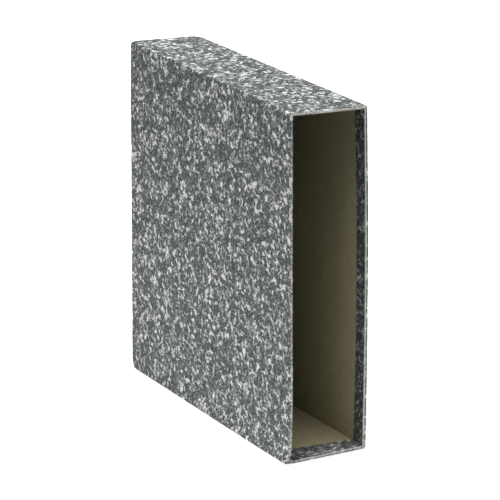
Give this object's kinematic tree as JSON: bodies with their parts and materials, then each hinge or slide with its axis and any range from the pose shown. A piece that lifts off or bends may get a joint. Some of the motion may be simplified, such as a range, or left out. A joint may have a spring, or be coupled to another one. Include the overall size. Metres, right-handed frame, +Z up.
{
  "type": "lever arch file slipcase",
  "caption": "Open-fronted greyboard slipcase that holds a lever arch file, covered in grey cloud-marbled paper turned in round the mouth, with bare board inside.",
  "frame": {"origin": "middle of the footprint, on the surface the box stands on", "axes": "+Z up, +Y from the open mouth to the closed end, X across the width"},
  "size_m": [0.078, 0.294, 0.326],
  "materials": {
    "greyboard": "bare greyboard, olive-brown, matt, faint fibres",
    "kraft_tape": "gummed kraft stay tape, matt, hidden under the cover",
    "marbled_paper": "printed cloud-marbled cover paper: slate-grey ground with pale grey-white flecks, slight satin varnish"
  },
  "bodies": {
    "root": {"board_left_side": "greyboard", "board_right_side": "greyboard", "board_top": "greyboard", "board_bottom": "greyboard", "board_back": "greyboard", "stay_tape_top_left": "kraft_tape", "stay_tape_top_right": "kraft_tape", "stay_tape_bottom_left": "kraft_tape", "stay_tape_bottom_right": "kraft_tape", "stay_tape_back_left": "kraft_tape", "stay_tape_back_right": "kraft_tape", "stay_tape_back_top": "kraft_tape", "stay_tape_back_bottom": "kraft_tape", "cover_wrap": "marbled_paper", "cover_back_sheet": "marbled_paper"}
  },
  "joints": []
}
